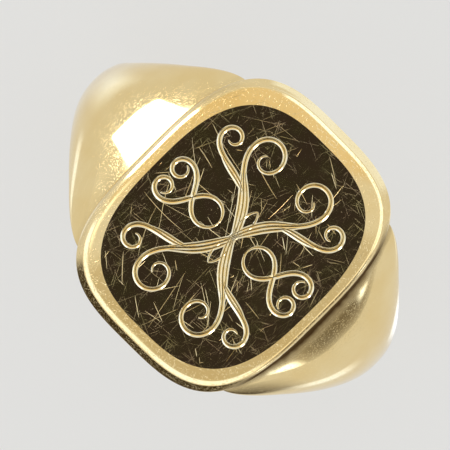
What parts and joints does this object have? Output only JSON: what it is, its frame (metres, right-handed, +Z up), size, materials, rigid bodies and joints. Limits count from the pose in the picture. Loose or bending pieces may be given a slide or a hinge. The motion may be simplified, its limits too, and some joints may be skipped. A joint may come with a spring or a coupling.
{
  "type": "signet ring",
  "caption": "Gold signet ring: cushion-shaped seal plate on a hollow box head, tapering shoulders and a domed shank.",
  "frame": {"origin": "centre of the finger hole, halfway along its length", "axes": "+Z up through the middle of the seal plate, +Y along the finger, +X from one shoulder to the other"},
  "size_m": [0.023, 0.0164, 0.0233],
  "materials": {
    "gold_face": "mirror-polished yellow gold with fine wear scratches",
    "gold_body": "polished yellow gold",
    "gold_inner": "satin yellow gold",
    "solder": "polished gold solder"
  },
  "bodies": {
    "root": {"table_plate": "gold_face", "shoulder_left": "gold_body", "shoulder_right": "gold_body", "flank_front": "gold_body", "flank_rear": "gold_body", "shank": "gold_body", "finger_liner": "gold_inner", "solder_table": "solder", "solder_box_left": "solder", "solder_box_right": "solder", "solder_shank_left": "solder", "solder_shank_right": "solder", "solder_liner_front": "solder", "solder_liner_rear": "solder"}
  },
  "joints": []
}
